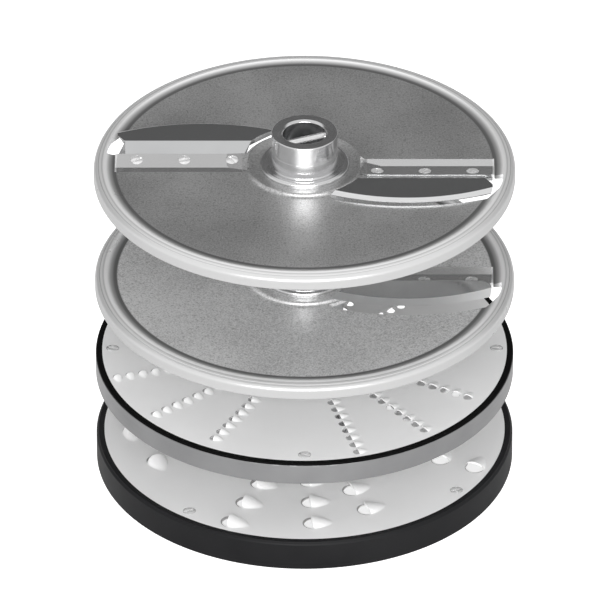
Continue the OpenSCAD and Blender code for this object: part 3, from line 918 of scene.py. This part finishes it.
def grating_plate(name, body, node, lift, face, plate_r, teeth, size, screws):
    verts, faces = grated_sheet(name, plate_r, SHOULDER_R + 0.05, teeth, size, screws)
    mesh = bpy.data.meshes.new(name)
    mesh.from_pydata([Vector((x, y, z + face)) * MM for x, y, z in verts], [], faces)
    work = bmesh.new()
    work.from_mesh(mesh)
    bmesh.ops.recalc_face_normals(work, faces=work.faces)
    if sum(f.normal.z * f.calc_area() for f in work.faces) < 0:
        bmesh.ops.reverse_faces(work, faces=work.faces)
    work.to_mesh(mesh)
    work.free()
    obj = bpy.data.objects.new(name, mesh)
    bpy.context.scene.collection.objects.link(obj)
    mod = obj.modifiers.new("thick", "SOLIDIFY")
    mod.thickness, mod.offset, mod.use_even_offset = size["sheet"] * MM, -1.0, False
    apply_modifiers(obj)
    return place(obj, body, "sheet_steel", node, lift, 50.0)


def tooth_places(screw_angle, rows):
    """Radius and angle of every tooth: three staggered rows after each of the four screws."""
    offsets, first_r, pitch, last_r = rows
    places = []
    for quarter in range(4):
        for k, offset in enumerate(offsets):
            r = first_r - k * pitch / 3
            while r >= last_r:
                places.append((r, math.radians(90 * quarter + screw_angle + offset)))
                r -= pitch
    return places


def screw_places(radius, screw_angle):
    return [(radius, math.radians(screw_angle + 90 * q)) for q in range(4)]


def plate_screws(name, body, node, lift, face, places):
    slots = iter((-12, 34, -25, 60))  # how far each slot is turned, in degrees
    parts = []
    for radius, angle in places:
        screw = slotted_screw(PLATE_SCREW_L, math.radians(next(slots)))
        screw.data.transform(turned(angle) @ shift(radius, 0, face - 0.05))
        parts.append(screw)
    return place(joined(name, parts), body, "screw_steel", node, lift)


def carrier(name, body, node, lift, slot, wall, face, screw_angle, places):
    """Side wall with four spokes and a centre boss under the plate."""
    ring = solid(name, *lathe(wall, 360))
    seat = face - PLATE_T - 0.02
    parts = []
    start, end = SHOULDER_R + 1.5, DISC_R - 4
    outline = [(start, -SPOKE_HALF), (end, -SPOKE_HALF), (end, SPOKE_HALF), (start, SPOKE_HALF)]
    verts, faces = prism(outline, SPOKE_H)
    for q in range(4):
        spin = turned(math.radians(screw_angle + 90 * q))
        parts.append(solid("spoke", [(x, y, z + seat - SPOKE_H) for x, y, z in verts], faces, spin))
    boss_r = SHOULDER_R + BOSS_WALL
    boss = [(SHOULDER_R + 0.03, HUB_LIFT), (boss_r - 0.4, HUB_LIFT), (boss_r, HUB_LIFT + 0.4),
            (boss_r, seat), (SHOULDER_R + 0.03, seat)]
    parts.append(solid("boss", *lathe(boss, 120)))
    combine(ring, parts, "UNION")
    hole = [(0.0, seat - 9), (SHANK_R + 0.05, seat - 9), (SHANK_R + 0.05, seat + 2), (0.0, seat + 2)]
    holes = [solid("hole", *lathe(hole, 24), shift(r * math.cos(a), r * math.sin(a))) for r, a in places]
    combine(ring, holes, "DIFFERENCE")
    soften(ring, 0.25)
    return place(ring, body, slot, node, lift, 32.0)


# ---------------------------------------------------------------- assembly
def slicing_disc(prefix, lift, cut, hone, blades):
    """One slicing disc; blades gives each blade's node and its angle."""
    body, sides = prefix + "_disc", list(blades.values())
    pan(prefix + "_pan", body, (prefix + "_slicing_pan", prefix + "_pan_rim"), lift, sides)
    for node, side in blades.items():
        blade(node + "_steel", body, node, lift, side, cut, hone)
    blade_screws(prefix + "_screws", body, prefix + "_blade_screws", lift, sides)
    hub(prefix + "_turned_hub", body, prefix + "_hub", lift, PAN_TOP)
    drive_pin(prefix + "_cross_pin", body, prefix + "_drive_pin", lift, PAN_TOP)


def fine_grating_disc():
    body, screws = "fine_disc", screw_places(FINE_SCREW_R, FINE_SCREW_ANGLE)
    teeth = tooth_places(FINE_SCREW_ANGLE, FINE_ROWS)
    nodes = ("fine_grating_plate", "fine_teeth")
    grating_plate("fine_plate", body, nodes, FINE_Z, FINE_FACE, FINE_PLATE_R, teeth, FINE_TOOTH, screws)
    plate_screws("fine_screws", body, "fine_plate_screws", FINE_Z, FINE_FACE, screws)
    top = FINE_FACE - 1.0
    wall = [(DISC_R - WALL_T, 0.4), (DISC_R - WALL_T + 0.4, 0), (DISC_R - 0.5, 0),
            *arc(DISC_R - 0.5, 0.5, 0.5, -90, 0, 4)[1:], *arc(DISC_R - 0.25, top - 0.25, 0.25, 0, 90, 3),
            (FINE_PLATE_R + 0.02, top), (FINE_PLATE_R + 0.02, top - 0.02), (DISC_R - WALL_T, top - 0.02)]
    nodes = ("fine_rim", "fine_spokes", "fine_boss")
    carrier("fine_wall", body, nodes, FINE_Z, "brushed_aluminium", wall, FINE_FACE, FINE_SCREW_ANGLE, screws)
    seal = [(FINE_PLATE_R + 0.03, top + 0.02), (DISC_R - 0.25, top + 0.02), (DISC_R - 0.2, top + 0.1),
            *arc(DISC_R - 0.75, top + 0.35, 0.55, 0, 90, 5), (FINE_PLATE_R + 0.03, top + 0.9)]
    place(solid("fine_seal", *lathe(seal, 360)), body, "black_seal", "fine_seal_ring", FINE_Z)
    hub("fine_turned_hub", body, "fine_hub", FINE_Z, FINE_FACE)
    drive_pin("fine_cross_pin", body, "fine_drive_pin", FINE_Z, FINE_FACE)


def coarse_grating_disc():
    body, screws = "coarse_disc", screw_places(COARSE_SCREW_R, COARSE_SCREW_ANGLE)
    teeth = tooth_places(COARSE_SCREW_ANGLE, COARSE_ROWS)
    nodes = ("coarse_grating_plate", "coarse_teeth")
    grating_plate("coarse_plate", body, nodes, COARSE_Z, COARSE_FACE, COARSE_PLATE_R, teeth,
                  COARSE_TOOTH, screws)
    plate_screws("coarse_screws", body, "coarse_plate_screws", COARSE_Z, COARSE_FACE, screws)
    top = COARSE_FACE
    wall = [(DISC_R - WALL_T, 0.4), (DISC_R - WALL_T + 0.4, 0), (DISC_R - 0.8, 0),
            *arc(DISC_R - 0.8, 0.8, 0.8, -90, 0, 4)[1:], (DISC_R, top - 1.5),
            (DISC_R - 0.15, top - 1.2), (DISC_R - 0.55, top - 0.65), (DISC_R - 0.8, top - 0.5),
            (DISC_R - 0.95, top - 0.1), (DISC_R - 1.1, top), (COARSE_PLATE_R + 0.15, top),
            (COARSE_PLATE_R + 0.03, top - 0.12), (COARSE_PLATE_R + 0.03, top - 1.02),
            (DISC_R - WALL_T, top - 1.02)]
    nodes = ("coarse_rim", "coarse_spokes", "coarse_boss")
    carrier("coarse_wall", body, nodes, COARSE_Z, "black_plastic", wall, COARSE_FACE, COARSE_SCREW_ANGLE,
            screws)
    hub("coarse_turned_hub", body, "coarse_hub", COARSE_Z, COARSE_FACE)
    drive_pin("coarse_cross_pin", body, "coarse_drive_pin", COARSE_Z, COARSE_FACE)


slicing_disc("thin", THIN_Z, THIN_CUT, THIN_HONE, {"thin_blade_right": 0.0, "thin_blade_left": math.pi})
slicing_disc("thick", THICK_Z, THICK_CUT, THICK_HONE, {"thick_blade": 0.0})
fine_grating_disc()
coarse_grating_disc()
sleeve("sleeve_a", "sleeve_low", "lower_sleeve")
sleeve("sleeve_b", "sleeve_mid", "middle_sleeve")
sleeve("sleeve_c", "sleeve_high", "upper_sleeve")


# ---------------------------------------------------------------- floor, light, camera
def floor():
    """Plain pale floor; the camera alone sees its glow, so that it shows white without lighting the discs."""
    mesh = bpy.data.meshes.new("floor")
    mesh.from_pydata([(-6, -6, 0), (6, -6, 0), (6, 6, 0), (-6, 6, 0)], [], [(0, 1, 2, 3)])
    obj = bpy.data.objects.new("floor", mesh)
    bpy.context.scene.collection.objects.link(obj)
    m = Nodes("pale_floor")
    m.colour(m.spread(m.noise(3, 2.0), 0.0, 1.0), (0.90, 0.90, 0.90), (0.93, 0.93, 0.93))
    m.set(Roughness=0.9, Specular_IOR_Level=0.0, Emission_Color=(1, 1, 1, 1))
    seen = m.add("ShaderNodeLightPath").outputs["Is Camera Ray"]
    m.link(m.math("MULTIPLY", seen, 0.8), m.shader.inputs["Emission Strength"])
    mesh.materials.append(m.material)


def area_light(name, place_m, target_m, size, power):
    data = bpy.data.lights.new(name, "AREA")
    data.shape, data.size, data.size_y, data.energy = "RECTANGLE", size[0], size[1], power
    obj = bpy.data.objects.new(name, data)
    obj.location = place_m
    obj.rotation_euler = (Vector(target_m) - Vector(place_m)).to_track_quat("-Z", "Y").to_euler()
    bpy.context.scene.collection.objects.link(obj)


def studio():
    """A pale room with a dark band behind the discs, seen only in the metal; the camera sees plain white."""
    world = bpy.data.worlds.new("studio")
    bpy.context.scene.world = world
    world.use_nodes = True
    tree = world.node_tree
    background = tree.nodes["Background"]

    def add(kind, **values):
        node = tree.nodes.new(kind)
        for key, value in values.items():
            setattr(node, key, value)
        return node

    direction = add("ShaderNodeTexCoord").outputs["Generated"]
    split = add("ShaderNodeSeparateXYZ")
    tree.links.new(direction, split.inputs[0])

    def ramp(stops):
        """Brightness by elevation in degrees."""
        spread = add("ShaderNodeMapRange")
        spread.inputs["From Min"].default_value = -1.0
        tree.links.new(split.outputs["Z"], spread.inputs["Value"])
        node = add("ShaderNodeValToRGB")
        tree.links.new(spread.outputs["Result"], node.inputs["Fac"])
        elements = node.color_ramp.elements
        while len(elements) > 1:
            elements.remove(elements[-1])
        for k, (elevation, grey) in enumerate(stops):
            position = (math.sin(math.radians(elevation)) + 1) / 2
            element = elements[0] if k == 0 else elements.new(position)
            element.position = position
            element.color = (grey, grey, grey, 1)
        return node.outputs["Color"]

    behind = ramp([(-20, 0.9), (1, 0.85), (8, 0.15), (43, 0.13), (51, 0.80), (75, 0.95)])
    elsewhere = ramp([(-20, 0.9), (10, 0.95), (45, 0.8), (75, 0.85)])
    side = add("ShaderNodeMapRange", interpolation_type="SMOOTHSTEP")
    side.inputs["From Min"].default_value, side.inputs["From Max"].default_value = 0.05, 0.5
    tree.links.new(split.outputs["Y"], side.inputs["Value"])
    mix = add("ShaderNodeMix", data_type="RGBA")
    tree.links.new(side.outputs["Result"], mix.inputs["Factor"])
    tree.links.new(elsewhere, mix.inputs["A"])
    tree.links.new(behind, mix.inputs["B"])
    shown = add("ShaderNodeMix", data_type="RGBA")
    tree.links.new(add("ShaderNodeLightPath").outputs["Is Camera Ray"], shown.inputs["Factor"])
    tree.links.new(mix.outputs["Result"], shown.inputs["A"])
    shown.inputs["B"].default_value = (1, 1, 1, 1)
    tree.links.new(shown.outputs["Result"], background.inputs["Color"])
    background.inputs["Strength"].default_value = 1.0


def camera():
    """A long lens in front, on the -Y side, 33 degrees above the table."""
    data = bpy.data.cameras.new("camera")
    obj = bpy.data.objects.new("camera", data)
    bpy.context.scene.collection.objects.link(obj)
    distance, elevation, frame_width = 5.0, math.radians(33.0), 0.2695
    aim = Vector((0.0002, 0.0, 0.0784))
    back = Vector((0.0, -math.cos(elevation), math.sin(elevation)))
    obj.location = aim + back * distance
    obj.rotation_mode = "QUATERNION"
    obj.rotation_quaternion = (-back).to_track_quat("-Z", "Y")
    data.sensor_width = 36.0
    data.lens = data.sensor_width * distance / frame_width
    data.clip_start, data.clip_end = 0.1, 50.0
    bpy.context.scene.camera = obj


floor()
studio()
area_light("front", (0.0, -2.4, 1.25), (0.0, 0.0, 0.08), (2.4, 1.0), 50.0)
camera()
bpy.context.scene.view_settings.view_transform = "Standard"
